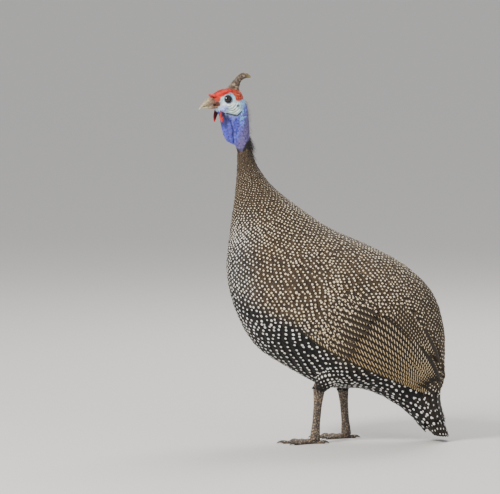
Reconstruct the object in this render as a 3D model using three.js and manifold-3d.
// A life-size still model of a helmeted guinea fowl that stands alert, its head turned to its left.
// Millimetres, +Z up. The bird faces -Y and its left side is +X.
// Its outline comes from a list of stations, each a slanted ring from the bird's back to its front.
import * as THREE from "three";
import { mergeVertices } from "three/addons/utils/BufferGeometryUtils.js";
import Module from "manifold-3d";

const wasm = await Module();
wasm.setup();

const GAP = 0.35; // between neighbours that touch
const SIMPLIFY = 0.08; // how far a joined solid's points may move when needless ones go
const NECK_AXIS_Y = -120; // the head turns about an upright line here
const HEAD_TURN = 25; // degrees, to the bird's left
const RING_SIDES = 28;
const BODY_STEPS = 17; // rings along the torso

// Each station: back [y, z], front [y, z], half width, egg (above 0 is wider at the back), share of the head's turn.
const STATIONS = [
  { back: [-166, 497], front: [-160, 479.5], half: 6.2, egg: 0, turn: 1 }, // 0, root of the bill
  { back: [-160.8, 502.4], front: [-157.6, 478.5], half: 8.5, egg: 0, turn: 1 },
  { back: [-152, 506.8], front: [-155.2, 475.6], half: 11.2, egg: 0, turn: 1 }, // 2, brow
  { back: [-142.4, 508.2], front: [-153.6, 471.3], half: 13, egg: 0, turn: 1 },
  { back: [-131.2, 508.5], front: [-152.5, 465.5], half: 13.8, egg: 0.04, turn: 1 }, // 4, crown
  { back: [-122.4, 503.9], front: [-151.7, 459.7], half: 13.8, egg: 0.1, turn: 1 },
  { back: [-117.6, 495.9], front: [-150.4, 452.4], half: 13.2, egg: 0.2, turn: 1 }, // 6, nape
  { back: [-113.6, 487.2], front: [-148.8, 445.9], half: 12.4, egg: 0.3, turn: 0.97 },
  { back: [-110.6, 477], front: [-146.1, 439.4], half: 11.6, egg: 0.36, turn: 0.88 }, // 8, throat skin
  { back: [-109.1, 462.6], front: [-141.1, 432.8], half: 11, egg: 0.36, turn: 0.66 },
  { back: [-108.4, 446.6], front: [-133.9, 428.6], half: 10.6, egg: 0.25, turn: 0.36 }, // 10
  { back: [-107.7, 435], front: [-128.5, 426.2], half: 10.3, egg: 0.08, turn: 0.12 },
  { back: [-106.2, 424.9], front: [-126.6, 421], half: 10.3, egg: 0, turn: 0 }, // 12, top of the feathered neck
  { back: [-84.8, 378.5], front: [-127.6, 364], half: 20, egg: 0, turn: 0 },
  { back: [-38.4, 337.9], front: [-135.6, 304.5], half: 38, egg: -0.04, turn: 0 }, // 14, shoulders
  { back: [9.4, 306], front: [-140.4, 246.5], half: 58, egg: -0.08, turn: 0 },
  { back: [61.6, 282.8], front: [-127.6, 190], half: 72, egg: -0.08, turn: 0 }, // 16
  { back: [112.4, 255.2], front: [-97.9, 138.5], half: 78, egg: -0.06, turn: 0 },
  { back: [153, 216], front: [-50, 105.9], half: 75, egg: -0.04, turn: 0 }, // 18, hips
  { back: [170.4, 166.8], front: [2.2, 79.8], half: 64, egg: 0, turn: 0 },
  { back: [171.8, 110.2], front: [60.2, 74.7], half: 46, egg: 0, turn: 0 }, // 20, root of the tail
  { back: [164.6, 60.9], front: [110.9, 48.6], half: 30, egg: 0.1, turn: 0 },
  { back: [180.5, 6.6], front: [151.5, 6.6], half: 26, egg: 0.1, turn: 0 }, // 22, tip of the tail
];
const HEAD_END = 6;
const BARE_SKIN_END = 12;
const NECK_END = 14;
const TORSO_END = 20.2;

// Small vector helpers
const vector = (x, y, z) => new THREE.Vector3(x, y, z);
const lerp = THREE.MathUtils.lerp;
const radians = THREE.MathUtils.degToRad;
const smooth = (x, low, high) => THREE.MathUtils.smoothstep(x, low, high);

// How far along the bird each station lies, in millimetres: the mean of the steps at the back and at the front.
const distances = [0];
for (let i = 1; i < STATIONS.length; i++) {
  const step = (edge) => Math.hypot(...STATIONS[i][edge].map((v, axis) => v - STATIONS[i - 1][edge][axis]));
  distances.push(distances[i - 1] + (step("back") + step("front")) / 2);
}

/** The distance along the bird of a place between stations, such as 6.5. */
function along(place) {
  const i = Math.min(Math.floor(place), STATIONS.length - 2);
  return lerp(distances[i], distances[i + 1], place - i);
}

/** A smooth curve through one value of every station, read at a distance along the bird. */
function smoothValue(values, s) {
  let i = 0;
  while (i < values.length - 2 && s > distances[i + 1]) i++;
  const slope = (k) => (values[k + 1] - values[k]) / (distances[k + 1] - distances[k]);
  const tangent = (k) => {
    if (k === 0) return slope(0);
    if (k === values.length - 1) return slope(k - 1);
    const before = distances[k] - distances[k - 1];
    const after = distances[k + 1] - distances[k];
    return (slope(k) * before + slope(k - 1) * after) / (before + after);
  };
  const span = distances[i + 1] - distances[i];
  const u = (s - distances[i]) / span;
  const u2 = u * u;
  const u3 = u2 * u;
  return (
    (2 * u3 - 3 * u2 + 1) * values[i] +
    (u3 - 2 * u2 + u) * span * tangent(i) +
    (3 * u2 - 2 * u3) * values[i + 1] +
    (u3 - u2) * span * tangent(i + 1)
  );
}

const COLUMNS = {
  backY: STATIONS.map((p) => p.back[0]),
  backZ: STATIONS.map((p) => p.back[1]),
  frontY: STATIONS.map((p) => p.front[0]),
  frontZ: STATIONS.map((p) => p.front[1]),
  half: STATIONS.map((p) => p.half),
  egg: STATIONS.map((p) => p.egg),
  turn: STATIONS.map((p) => p.turn),
};

/** The ring at a distance along the bird: its middle, its half vector to the back, its half width, egg and turn. */
function ringAt(s) {
  const v = Object.fromEntries(Object.entries(COLUMNS).map(([name, values]) => [name, smoothValue(values, s)]));
  return {
    y: (v.backY + v.frontY) / 2,
    z: (v.backZ + v.frontZ) / 2,
    upY: (v.backY - v.frontY) / 2,
    upZ: (v.backZ - v.frontZ) / 2,
    half: v.half,
    egg: v.egg,
    turn: v.turn,
  };
}

/** Turns a point of the straight pose about the neck's upright line by a share of the head's turn. */
function turned(p, share) {
  const angle = radians(HEAD_TURN * share);
  const q = p.y - NECK_AXIS_Y;
  return vector(
    p.x * Math.cos(angle) - q * Math.sin(angle),
    NECK_AXIS_Y + q * Math.cos(angle) + p.x * Math.sin(angle),
    p.z,
  );
}

/** A point of the bird's outer form. Angle 0 is the back's midline and 90 degrees the left side; lift stands it off. */
function bodyPoint(s, angle, lift = 0) {
  const r = ringAt(s);
  const c = Math.cos(angle);
  const n = Math.sin(angle);
  const grow = 1 + lift / Math.hypot(r.upY, r.upZ);
  const p = vector(n * (r.half * (1 + r.egg * c) + lift), r.y + c * r.upY * grow, r.z + c * r.upZ * grow);
  return turned(p, r.turn);
}

/** A point on the flank at a place of the side view, stood off by lift along the surface's normal. */
function flankPoint(y, z, lift, side) {
  let low = along(13);
  let high = along(22);
  const across = (s) => {
    const r = ringAt(s);
    return (y - r.y) * r.upZ - (z - r.z) * r.upY;
  };
  for (let k = 0; k < 40; k++) {
    const middle = (low + high) / 2;
    if (across(middle) > 0) low = middle;
    else high = middle;
  }
  const s = (low + high) / 2;
  const r = ringAt(s);
  const c = ((y - r.y) * r.upY + (z - r.z) * r.upZ) / (r.upY ** 2 + r.upZ ** 2);
  const angle = Math.acos(THREE.MathUtils.clamp(c, -0.985, 0.985));
  const step = 0.01;
  const p = bodyPoint(s, angle);
  const alongIt = bodyPoint(s + 1, angle).sub(p);
  const round = bodyPoint(s, angle + step).sub(p);
  const normal = alongIt.cross(round).normalize();
  if (normal.x < 0) normal.negate();
  p.addScaledVector(normal, lift);
  return vector(p.x * side, p.y, p.z);
}

// Solids

/** A closed solid from points and triangles, turned so that its faces point out. */
function solidFrom(points, triangles) {
  const volume = triangles.reduce(
    (sum, [a, b, c]) => sum + points[a].dot(points[b].clone().cross(points[c])),
    0,
  );
  const facing = volume < 0 ? triangles.map(([a, b, c]) => [a, c, b]) : triangles;
  return new wasm.Manifold(
    new wasm.Mesh({
      numProp: 3,
      vertProperties: new Float32Array(points.flatMap((p) => [p.x, p.y, p.z])),
      triVerts: new Uint32Array(facing.flat()),
    }),
  );
}

/** A closed solid through rings of points, its two ends closed by fans. */
function loft(rings) {
  const sides = rings[0].length;
  const points = rings.flat();
  const triangles = [];
  for (let i = 0; i < rings.length - 1; i++) {
    for (let j = 0; j < sides; j++) {
      const a = i * sides + j;
      const b = i * sides + ((j + 1) % sides);
      triangles.push([a, b, b + sides], [a, b + sides, a + sides]);
    }
  }
  for (const [first, flip] of [[0, true], [(rings.length - 1) * sides, false]]) {
    const middle = vector(0, 0, 0);
    for (let j = 0; j < sides; j++) middle.add(points[first + j]);
    points.push(middle.divideScalar(sides));
    for (let j = 0; j < sides; j++) {
      const a = first + j;
      const b = first + ((j + 1) % sides);
      triangles.push(flip ? [points.length - 1, b, a] : [points.length - 1, a, b]);
    }
  }
  return solidFrom(points, triangles);
}

/** A closed slab between an outer and an inner grid of points, split into triangles alike on both faces. */
function slab(outer, inner) {
  const rows = outer.length;
  const cols = outer[0].length;
  const points = [...outer.flat(), ...inner.flat()];
  const under = rows * cols;
  const triangles = [];
  for (let i = 0; i < rows - 1; i++) {
    for (let j = 0; j < cols - 1; j++) {
      const a = i * cols + j;
      const [b, c, d] = [a + 1, a + cols + 1, a + cols];
      triangles.push([a, b, c], [a, c, d], [a + under, c + under, b + under], [a + under, d + under, c + under]);
    }
  }
  const edge = [];
  for (let j = 0; j < cols - 1; j++) edge.push(j);
  for (let i = 0; i < rows - 1; i++) edge.push(i * cols + cols - 1);
  for (let j = cols - 1; j > 0; j--) edge.push((rows - 1) * cols + j);
  for (let i = rows - 1; i > 0; i--) edge.push(i * cols);
  edge.forEach((a, k) => {
    const b = edge[(k + 1) % edge.length];
    triangles.push([b, a, a + under], [b, a + under, b + under]);
  });
  return solidFrom(points, triangles);
}

/** A three.js geometry as a solid. */
function fromGeometry(geometry) {
  const bare = geometry.clone();
  bare.deleteAttribute("normal");
  bare.deleteAttribute("uv");
  const merged = mergeVertices(bare, 1e-4);
  const position = merged.getAttribute("position");
  const points = [];
  for (let i = 0; i < position.count; i++) points.push(vector(0, 0, 0).fromBufferAttribute(position, i));
  const triangles = [];
  for (let i = 0; i < merged.index.count; i += 3) triangles.push([0, 1, 2].map((k) => merged.index.getX(i + k)));
  return solidFrom(points, triangles);
}

/** An ellipsoid of few faces, at a place, with radii along its own axes, tilted about X. */
function bulb(centre, radii, tilt = 0, detail = 1) {
  const shape = new THREE.IcosahedronGeometry(1, detail);
  shape.applyMatrix4(
    new THREE.Matrix4().compose(
      centre,
      new THREE.Quaternion().setFromEuler(new THREE.Euler(radians(tilt), 0, 0)),
      vector(...radii),
    ),
  );
  return fromGeometry(shape);
}

/** A tapered tube through points, with a radius across and a radius up at each; flat cuts its underside level. */
function limb(points, radii, sides = 12, flat = -Infinity, detail = 2) {
  const curve = new THREE.CatmullRomCurve3(points);
  const last = points.length - 1;
  const steps = last * detail;
  const rings = [];
  for (let i = 0; i <= steps; i++) {
    const u = i / steps;
    const k = Math.min(Math.floor(u * last), last - 1);
    const [across, up] = [0, 1].map((axis) => lerp(radii[k][axis], radii[k + 1][axis], u * last - k));
    const middle = curve.getPoint(u);
    const forward = curve.getTangent(u);
    const sideways = vector(0).cross(forward);
    if (sideways.length() < 0.5) sideways.set(1, 0, 0);
    sideways.normalize();
    const upward = forward.clone().cross(sideways).normalize();
    const ring = [];
    for (let j = 0; j < sides; j++) {
      const angle = ((j + 0.5) / sides) * 2 * Math.PI;
      const p = middle.clone();
      p.addScaledVector(sideways, Math.cos(angle) * across).addScaledVector(upward, Math.sin(angle) * up);
      p.z = Math.max(p.z, flat);
      ring.push(p);
    }
    rings.push(ring);
  }
  return loft(rings);
}

/** The largest closed surface of a solid. */
function largest(solid) {
  return solid.decompose().sort((a, b) => b.volume() - a.volume())[0].simplify(SIMPLIFY);
}

/** Joins solids into one and keeps its largest closed surface. */
function joined(solids) {
  return largest(wasm.Manifold.union(solids));
}

/** Rings of the body between two places of the station list. */
function bodyRings(from, to, count, lift = 0, sides = RING_SIDES) {
  const rings = [];
  for (let i = 0; i <= count; i++) {
    const s = lerp(along(from), along(to), i / count);
    const ring = [];
    for (let j = 0; j < sides; j++) ring.push(bodyPoint(s, (j / sides) * 2 * Math.PI, lift));
    rings.push(ring);
  }
  return rings;
}

// Head, in the straight pose and then turned

const headSpot = (x, y, z) => turned(vector(x, y, z), 1);

const EYE = { x: 9.3, y: -146, z: 493.3, radius: 5.6 };
const LID = { reach: 4.9, thick: 0.95, out: 3.4 };

/** A ring of skin round the eye, facing sideways. grow thickens it. */
function lid(side, grow) {
  const ring = new THREE.TorusGeometry(LID.reach, LID.thick + grow, 5, 12);
  ring.rotateY(Math.PI / 2);
  ring.translate(side * (EYE.x + LID.out), EYE.y, EYE.z);
  ring.translate(0, -NECK_AXIS_Y, 0);
  ring.rotateZ(radians(HEAD_TURN));
  ring.translate(0, NECK_AXIS_Y, 0);
  return fromGeometry(ring);
}

/** A straight run of skin such as a brow or a fold, thick in the middle. */
function fold(from, to, radius) {
  const middle = from.clone().lerp(to, 0.5);
  const run = to.clone().sub(from);
  const shape = new THREE.IcosahedronGeometry(1, 1);
  const turn = new THREE.Quaternion().setFromUnitVectors(vector(0, 1, 0), run.clone().normalize());
  shape.applyMatrix4(new THREE.Matrix4().compose(middle, turn, vector(radius, run.length() / 2, radius)));
  return fromGeometry(shape);
}

/** The head without its bulbs and folds. lift widens it all round and ahead. */
function headForm(lift) {
  const rings = bodyRings(0, HEAD_END, 10, lift, 22);
  const ahead = headSpot(0, -1, 0).sub(headSpot(0, 0, 0));
  for (const p of rings[0]) p.addScaledVector(ahead, lift);
  return loft(rings);
}

/** The bulbs and folds of bare skin on one side of the head. grow thickens them, for what keeps clear of them. */
function caruncles(side, grow = 0) {
  const at = (x, y, z) => headSpot(side * x, y, z);
  const ball = (centre, radii) => bulb(centre, radii.map((r) => r + grow));
  return [
    fold(at(6, -163.5, 497.5), at(12, -140, 504), 2.3 + grow), // red brow
    ball(at(2.4, -171, 500.6), [2.3, 2.7, 2.6]), // bulbs over the nostril
    ball(at(3.2, -168.6, 499.4), [2.1, 2.3, 2.3]),
    ball(at(4.8, -165, 498), [2.5, 3.6, 2.4]),
    ball(at(6.1, -163.6, 495.2), [2, 2, 1.8]),
    ball(at(6.9, -162, 489.3), [2.2, 2.4, 2.2]),
    ball(at(8.6, -154.4, 479.3), [3.7, 4.9, 5.2]), // knob at the root of the wattle
    fold(at(11.4, -150, 484.6), at(12.6, -133, 482.4), 2 + grow), // folds under the eye
    fold(at(11.8, -148, 479), at(12.8, -131, 475), 1.8 + grow),
    fold(at(12.2, -133, 474), at(12, -121.5, 480.5), 1.7 + grow),
    lid(side, grow),
  ];
}

/** The hollows cut into one side of the head: eye socket, ear, nostril and line of the mouth. */
function hollows(side) {
  const at = (x, y, z) => headSpot(side * x, y, z);
  return [
    bulb(at(EYE.x, EYE.y, EYE.z), Array(3).fill(EYE.radius + GAP), 0, 2),
    bulb(at(14.2, -130.6, 484), [3, 1.9, 2.3]),
    bulb(at(6.9, -165.4, 492.4), [2.2, 1.7, 0.9]),
    fold(at(6.4, -166.5, 485.2), at(10.2, -156.6, 485.8), 0.9),
  ];
}

const neckForm = (lift) => loft(bodyRings(HEAD_END + 0.06 - lift * 0.08, BARE_SKIN_END, 9, lift, 22));
const headBase = headForm(0);
const head = largest(
  joined([headBase, ...caruncles(1), ...caruncles(-1)]).subtract(
    wasm.Manifold.union([...hollows(1), ...hollows(-1), neckForm(GAP)]),
  ),
);

/** One half of the bill, as rings from its root to its tip. Each ring: y, top z, bottom z, half width. */
function bill(sections, roundTop) {
  const sides = 16;
  const rings = sections.map(([y, top, bottom, half]) => {
    const ring = [];
    for (let j = 0; j < sides; j++) {
      const angle = (j / sides) * 2 * Math.PI;
      const c = Math.cos(angle);
      const up = c > 0 ? (roundTop ? c : Math.cbrt(c) * 0.9) : roundTop ? -(Math.cbrt(-c) * 0.9) : c;
      const z = lerp(bottom, top, (up + 1) / 2);
      ring.push(headSpot(Math.sin(angle) * half, y, z));
    }
    return ring;
  });
  return loft(rings);
}

// y, top z, bottom z and half width from the root to the tip
const UPPER_BILL = [
  [-158, 495.6, 485.8, 6.6],
  [-166, 496.8, 485.2, 6.5],
  [-171, 495.4, 484.6, 5.6],
  [-176, 492.2, 483.9, 4.5],
  [-180.5, 487.8, 482.8, 3.3],
  [-184, 483.3, 480.9, 2],
  [-186.4, 479.6, 478.9, 0.7],
];
const LOWER_BILL = [
  [-157, 484.9, 480.2, 6.2],
  [-166, 484.3, 479.6, 5.9],
  [-172, 483.7, 479.8, 4.8],
  [-178, 483, 480.3, 3.4],
  [-182, 482, 480.9, 1.8],
];
const headKeepOut = wasm.Manifold.union([headForm(GAP), ...caruncles(1, GAP), ...caruncles(-1, GAP)]);
const upperBill = largest(bill(UPPER_BILL, true).subtract(headKeepOut));
const lowerBill = largest(bill(LOWER_BILL, false).subtract(headKeepOut));

// The bony helmet: front edge and back edge [y, z] and half width, from its root to its tip.
const HELMET = [
  { fore: [-145.5, 503], aft: [-122, 500], half: 6.6 },
  { fore: [-142.4, 508.6], aft: [-123.6, 508.4], half: 5.4 },
  { fore: [-136.4, 515], aft: [-122.6, 511.5], half: 4.4 },
  { fore: [-130, 521.5], aft: [-121.4, 516.4], half: 3.6 },
  { fore: [-123.6, 527.6], aft: [-118.2, 520.2], half: 3.1 },
  { fore: [-116.2, 530.8], aft: [-113.8, 522], half: 2.7 },
  { fore: [-109.4, 529.6], aft: [-109.6, 522.4], half: 2 },
  { fore: [-104.2, 524.8], aft: [-105.2, 522.6], half: 0.9 },
];
const helmetSides = 14;
const helmetForm = loft(
  HELMET.map(({ fore, aft, half }) => {
    const ring = [];
    for (let j = 0; j < helmetSides; j++) {
      const angle = (j / helmetSides) * 2 * Math.PI;
      const share = (1 + Math.cos(angle)) / 2;
      ring.push(headSpot(Math.sin(angle) * half, lerp(aft[0], fore[0], share), lerp(aft[1], fore[1], share)));
    }
    return ring;
  }),
);
const helmet = largest(helmetForm.subtract(headKeepOut));

const WATTLE = { half: 4.7, thick: 1.9, root: [9.4, -153.6, 474.8], tip: [12.8, -156.4, 460.5] };

/** A wattle: a flap that hangs from the corner of the mouth and narrows to its tip. */
function wattle(side) {
  const rows = 6;
  const rings = [];
  for (let i = 0; i <= rows; i++) {
    const u = i / rows;
    const wide = WATTLE.half * Math.sqrt(Math.max(0.02, Math.sin(Math.PI * (0.42 + 0.565 * u)))) * (1 - 0.35 * u);
    const thick = lerp(WATTLE.thick, 0.8, u) / 2;
    const middle = WATTLE.root.map((v, axis) => lerp(v, WATTLE.tip[axis], u));
    const bow = 0.8 * Math.sin(Math.PI * u);
    const ring = [];
    for (let j = 0; j < 10; j++) {
      const angle = (j / 10) * 2 * Math.PI;
      const x = middle[0] + bow + Math.sin(angle) * thick;
      ring.push(headSpot(side * x, middle[1] + Math.cos(angle) * wide, middle[2]));
    }
    rings.push(ring);
  }
  return largest(loft(rings).subtract(headKeepOut));
}

// Wings

// Side-view curves [y, z] along the wing's upper and lower margin, from the shoulder to the rear.
const WING_TOP = [[-50, 232], [-6.5, 228], [39.9, 223], [86, 205], [123, 170], [148, 130], [163, 94]];
const WING_BOTTOM = [[-67.4, 203], [-35.5, 171], [-0.7, 143.6], [39.9, 121.8], [83.4, 103.4], [119, 90], [143, 77]];
const topCurve = new THREE.SplineCurve(WING_TOP.map((p) => new THREE.Vector2(...p)));
const bottomCurve = new THREE.SplineCurve(WING_BOTTOM.map((p) => new THREE.Vector2(...p)));
const WING_CORE = { from: 0.03, to: 0.88, deep: 9, edge: 1.4, thin: 0.7, clear: 0.82 };

/** A place of the side view on the wing: down runs from its top margin, 0, to its lower one, 1, and back to its tip. */
function wingPlace(down, back) {
  const read = (curve) => (back <= 1 ? curve.getPoint(Math.max(back, 0)) : curve.getPoint(1));
  const place = read(topCurve).lerp(read(bottomCurve), down);
  if (back > 1) {
    const before = topCurve.getPoint(0.97).lerp(bottomCurve.getPoint(0.97), down);
    place.addScaledVector(place.clone().sub(before), (back - 1) / 0.03);
  }
  return place;
}

/** The wing's core, a lens let into the flank. grow widens it, for the pocket that takes it. */
function wingCore(side, grow, outerLift) {
  const rows = 11;
  const cols = 6;
  const face = (liftOf) => {
    const grid = [];
    for (let i = 0; i <= rows; i++) {
      const u = i / rows;
      const back = lerp(WING_CORE.from - grow * 0.004, WING_CORE.to + grow * 0.004, u);
      const line = [];
      for (let j = 0; j <= cols; j++) {
        const v = j / cols;
        const place = wingPlace(lerp(-grow * 0.014, 1 + grow * 0.014, v), back);
        const full = Math.min(1, Math.sqrt(4 * v * (1 - v)) * Math.sqrt(Math.min(1, 4 * u * (1 - u) + 0.25 * u)));
        line.push(flankPoint(place.x, place.y, liftOf(full, smooth(back, WING_CORE.thin, WING_CORE.clear)), side));
      }
      grid.push(line);
    }
    return grid;
  };
  return slab(
    face((_, free) => outerLift + free * 2.6),
    face((full, free) => lerp(-WING_CORE.edge - (WING_CORE.deep - WING_CORE.edge) * full, 0.8, free) - grow),
  );
}

// The tiers of the wing's feathers, from the deepest to the outermost. first and last are their places down the wing,
// from and to their places back along it, half their half width in mm, lift how far their tips stand up, and tilt how
// much higher their lower margin stands than their middle: primaries, secondaries and two rows of coverts.
const WING_TIERS = [
  { count: 3, first: 0.84, last: 0.97, from: 0.6, to: 1.06, half: 8, lift: -0.3, tilt: 0.5, stack: 0.9, steps: 4 },
  { count: 7, first: 0.13, last: 0.87, from: 0.2, to: 1, half: 11.5, lift: 1.2, tilt: 1.3, stack: 0.5, steps: 5 },
  { count: 5, first: 0.14, last: 0.85, from: 0.1, to: 0.42, half: 11.5, lift: 3.6, tilt: 0.9, stack: 0, steps: 3 },
  { count: 4, first: 0.18, last: 0.82, from: 0.04, to: 0.25, half: 10, lift: 4.4, tilt: 0.8, stack: 0, steps: 3 },
];
const VANE_THICK = 0.6;
const VANE_ROOT = -4; // how deep a vane's root is sunk
const CORE_SINK = 1.4; // of the wing's core below the flank

/** One flight feather or covert of a wing, rooted in the core and lying along the flank. */
function wingVane(tier, index, side) {
  const share = tier.count > 1 ? index / (tier.count - 1) : 0;
  const down = lerp(tier.first, tier.last, share);
  const above = (tier.count - 1 - index) * tier.stack;
  const end = tier.to - 0.03 * share + (index % 2) * 0.008;
  const grids = [VANE_THICK, 0].map((thick) => {
    const grid = [];
    for (let i = 0; i <= tier.steps; i++) {
      const u = i / tier.steps;
      const back = lerp(tier.from, end, u);
      const here = wingPlace(down, back);
      const ahead = wingPlace(down, back + 0.02).sub(here).normalize();
      const narrow = Math.sqrt(Math.max(0.03, 1 - smooth(u, 0.72, 1.03) ** 2)) * lerp(0.75, 1, smooth(u, 0, 0.3));
      const free = smooth(back, 0.62, 0.9);
      const line = [];
      for (const across of [-1, 1]) {
        const shift = across * tier.half * narrow * (1 - 0.25 * free);
        const lift =
          lerp(VANE_ROOT, tier.lift, smooth(u, 0, 0.55)) + across * tier.tilt * smooth(u, 0.1, 0.6) + free * (2 + above);
        line.push(flankPoint(here.x + ahead.y * shift, here.y - ahead.x * shift, lift + thick, side));
      }
      grid.push(line);
    }
    return grid;
  });
  return slab(...grids);
}

/** A wing: its core and its vanes, kept clear of the body outside its pocket. */
function wing(side) {
  const vanes = WING_TIERS.flatMap((tier) =>
    Array.from({ length: tier.count }, (_, index) => wingVane(tier, index, side)),
  );
  const keepOut = loft(bodyRings(NECK_END + 0.1, TORSO_END, BODY_STEPS, GAP)).subtract(wingCore(side, 0.03, 8));
  return largest(joined([wingCore(side, 0, -CORE_SINK), ...vanes]).subtract(keepOut));
}

// Torso, with a pocket for each wing
const pockets = [1, -1].map((side) => wingCore(side, GAP, 8));
const torsoForm = loft(bodyRings(NECK_END + 0.008, TORSO_END, BODY_STEPS));
const torso = largest(torsoForm.subtract(wasm.Manifold.union(pockets)));

// Tail: a core, and vanes set round it. Angles are from the back's midline, in degrees.
const TAIL_TIERS = [
  { count: 10, spread: 114, from: 20.5, to: 22, half: 9.5, lift: -5.6, stack: 1, steps: 4 }, // tail feathers
  { count: 7, spread: 96, from: 20.36, to: 21.4, half: 10, lift: 0.9, stack: 0.9, steps: 3 }, // their upper coverts
  { count: 4, spread: -40, from: 20.5, to: 21.75, half: 10, lift: -2.6, stack: 0.9, steps: 3 }, // their under coverts
];
const TAIL_TILT = 0.5;
const TAIL_ROOT = -8;
const TAIL_CORE = { from: TORSO_END + 0.012, to: 20.95, sink: 2.2 };

/** One tail feather or covert. A spread below 0 sets the tier round the underside. */
function tailVane(tier, index) {
  const share = (index / (tier.count - 1)) * 2 - 1;
  const angle = radians(tier.spread >= 0 ? share * tier.spread : 180 + share * tier.spread);
  const inward = Math.abs(share) * ((tier.count - 1) / 2);
  const above = ((tier.count - 1) / 2 - inward) * tier.stack + (index % 2) * 0.08;
  const end = tier.to - (tier.spread > 100 ? 0.05 : 0.12) * Math.abs(share);
  const grids = [VANE_THICK, 0].map((thick) => {
    const grid = [];
    for (let i = 0; i <= tier.steps; i++) {
      const u = i / tier.steps;
      const s = lerp(along(tier.from), along(end), u);
      const narrow = Math.sqrt(Math.max(0.12, 1 - smooth(u, 0.8, 1.05) ** 2)) * lerp(0.7, 1, smooth(u, 0, 0.3));
      const ring = ringAt(s);
      const girth = (ring.half + Math.hypot(ring.upY, ring.upZ)) / 2;
      const line = [];
      for (const across of [-1, 1]) {
        const round = angle + (across * tier.half * narrow) / girth;
        const tilt = across * Math.sign(share) * Math.sign(tier.spread) * TAIL_TILT * smooth(u, 0, 0.3);
        const lift = lerp(TAIL_ROOT, tier.lift + above, smooth(u, 0, 0.45)) + tilt;
        line.push(bodyPoint(s, round, lift + thick));
      }
      grid.push(line);
    }
    return grid;
  });
  return slab(...grids);
}

const tailCore = loft(bodyRings(TAIL_CORE.from, TAIL_CORE.to, 5, -TAIL_CORE.sink));
const tail = joined([
  tailCore,
  ...TAIL_TIERS.flatMap((tier) => Array.from({ length: tier.count }, (_, index) => tailVane(tier, index))),
]);

// Legs: the near (left) one stands ahead, the far (right) one behind.
const LEGS = [
  { name: "left", side: 1, hip: [34, 14, 112], heel: [31, -8, 79], ankle: [33, -14, 9], cuff: 82 },
  { name: "right", side: -1, hip: [-34, 32, 112], heel: [-31, 27, 75], ankle: [-33, 32, 9], cuff: 78 },
];
const TOES = [
  { name: "middle", turn: 3, length: 46 },
  { name: "inner", turn: -33, length: 34 },
  { name: "outer", turn: 36, length: 36 },
  { name: "hind", turn: 172, length: 14 },
];
const TOE_RADIUS = 3.6;
const CLAW_LENGTH = 9.5;

/** A feathered thigh, from inside the torso down to just above the heel. grow widens it. */
function thigh(leg, grow = 0) {
  const [hip, heel] = [vector(...leg.hip), vector(...leg.heel)];
  const end = hip.clone().lerp(heel, (hip.z - leg.cuff + grow) / (hip.z - heel.z));
  const radii = [[24, 30], [15, 18], [7.6, 9]].map((pair) => pair.map((r) => r + grow));
  return limb([hip, hip.clone().lerp(end, 0.5), end], radii, 20);
}

/** A shank: the knobbed heel, the slender shank and its spreading foot. */
function shank(leg) {
  const [heel, ankle] = [vector(...leg.heel), vector(...leg.ankle)];
  const top = heel.clone().setZ(leg.cuff - GAP - 0.3);
  const at = (u) => heel.clone().lerp(ankle, u);
  return limb(
    [top, at(0.02), at(0.12), at(0.35), at(0.7), at(0.9), ankle],
    [[6.2, 7.6], [6.9, 8.3], [6.2, 7.6], [4.9, 6.6], [4.6, 6.1], [5.4, 6.6], [6, 6.6]],
    12,
  );
}

/** Which way a toe points, seen from above. */
function toeWay(leg, toe) {
  const angle = radians(toe.turn * leg.side);
  return vector(Math.sin(angle), -Math.cos(angle), 0);
}

/** A foot: a pad under the shank and four toes, each with joint pads and a level sole. */
function foot(leg) {
  const pad = vector(leg.ankle[0], leg.ankle[1], 4.2);
  const pieces = [limb([pad.clone().setZ(8.2), pad.clone().setZ(4), pad.clone().setZ(0.4)], [[5.6, 6.4], [6.6, 7], [5.6, 6]], 12, 0, 1)];
  for (const toe of TOES) {
    const way = toeWay(leg, toe);
    const joints = toe.name === "hind" ? 1 : 3;
    const points = [];
    const radii = [];
    for (let i = 0; i <= joints * 2; i++) {
      const u = i / (joints * 2);
      const knuckle = i % 2 ? 0.86 : 1.06;
      const radius = TOE_RADIUS * lerp(1, 0.72, u) * knuckle;
      points.push(pad.clone().addScaledVector(way, u * toe.length).setZ(radius * 0.9));
      radii.push([radius, radius]);
    }
    pieces.push(limb(points, radii, 8, 0, 1));
  }
  return joined(pieces);
}

/** A claw at the end of a toe, curved down to the floor. */
function claw(leg, toe) {
  const way = toeWay(leg, toe);
  const root = vector(leg.ankle[0], leg.ankle[1], 0).addScaledVector(way, toe.length + GAP);
  const length = toe.name === "hind" ? CLAW_LENGTH * 0.7 : CLAW_LENGTH;
  const at = (u, z) => root.clone().addScaledVector(way, u * length).setZ(z);
  return limb([at(0, 2.7), at(0.4, 3), at(0.75, 2.2), at(1, 0.75)], [[1.8, 2.1], [1.4, 1.7], [0.9, 1.1], [0.35, 0.45]], 7, 0, 1);
}

// The bird

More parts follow.
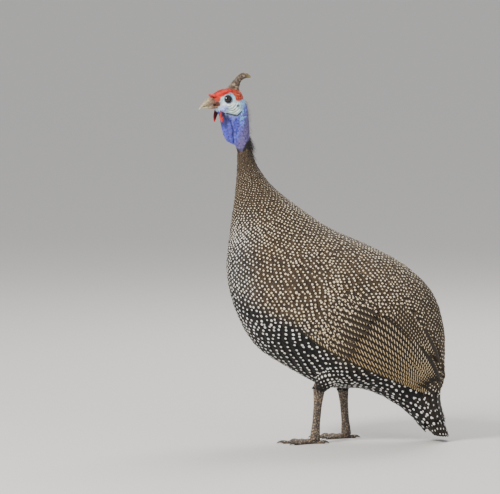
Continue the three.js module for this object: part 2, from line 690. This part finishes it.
const COLOURS = {
  plumage: { color: 0x2b2723, roughness: 0.75, metalness: 0 },
  flight: { color: 0x4a3d2c, roughness: 0.7, metalness: 0 },
  blue: { color: 0x4f57b8, roughness: 0.6, metalness: 0 },
  face: { color: 0xb9cfd2, roughness: 0.6, metalness: 0 },
  red: { color: 0xb3261c, roughness: 0.55, metalness: 0 },
  horn: { color: 0x8c775a, roughness: 0.5, metalness: 0 },
  eye: { color: 0x120c0a, roughness: 0.08, metalness: 0 },
  scale: { color: 0x6d6152, roughness: 0.7, metalness: 0 },
  claw: { color: 0x2e2823, roughness: 0.45, metalness: 0 },
};

const bird = new THREE.Group();

/** Adds a solid to the bird as a named mesh. */
function add(name, solid, colour) {
  const mesh = solid.getMesh();
  const geometry = new THREE.BufferGeometry();
  const points = new Float32Array(mesh.numVert * 3);
  for (let i = 0; i < mesh.numVert; i++) {
    points.set(mesh.vertProperties.subarray(i * mesh.numProp, i * mesh.numProp + 3), i * 3);
  }
  geometry.setAttribute("position", new THREE.BufferAttribute(points, 3));
  geometry.setIndex(new THREE.BufferAttribute(mesh.triVerts, 1));
  geometry.computeVertexNormals();
  const part = new THREE.Mesh(geometry, new THREE.MeshStandardMaterial(COLOURS[colour]));
  part.name = name;
  bird.add(part);
}

add("head", head, "face");
add("helmet", helmet, "horn");
add("bill_upper", upperBill, "horn");
add("bill_lower", lowerBill, "horn");
for (const [name, side] of [["left", 1], ["right", -1]]) {
  add("eye_" + name, bulb(headSpot(side * EYE.x, EYE.y, EYE.z), Array(3).fill(EYE.radius), 0, 2), "eye");
  add("wattle_" + name, wattle(side), "red");
  add("wing_" + name, wing(side), "flight");
}
add("neck_bare", neckForm(0), "blue");
add("neck_feathered", loft(bodyRings(BARE_SKIN_END + 0.012, NECK_END, 7, 0, 32)), "plumage");
add("torso", torso, "plumage");
add("tail", tail, "flight");
const torsoKeepOut = torsoForm.add(loft(bodyRings(NECK_END + 0.1, TORSO_END, BODY_STEPS, GAP)));
for (const leg of LEGS) {
  add("thigh_" + leg.name, largest(thigh(leg).subtract(torsoKeepOut)), "plumage");
  add("shank_" + leg.name, largest(shank(leg).subtract(foot(leg)).subtract(torsoKeepOut).subtract(thigh(leg, GAP))), "scale");
  add("foot_" + leg.name, foot(leg), "scale");
  for (const toe of TOES) add("claw_" + toe.name + "_" + leg.name, claw(leg, toe), "claw");
}

// The bird stands on the floor, with its bounding box centred over the origin.
const box = new THREE.Box3().setFromObject(bird);
bird.position.set(-(box.min.x + box.max.x) / 2, -(box.min.y + box.max.y) / 2, -box.min.z);

export default bird;
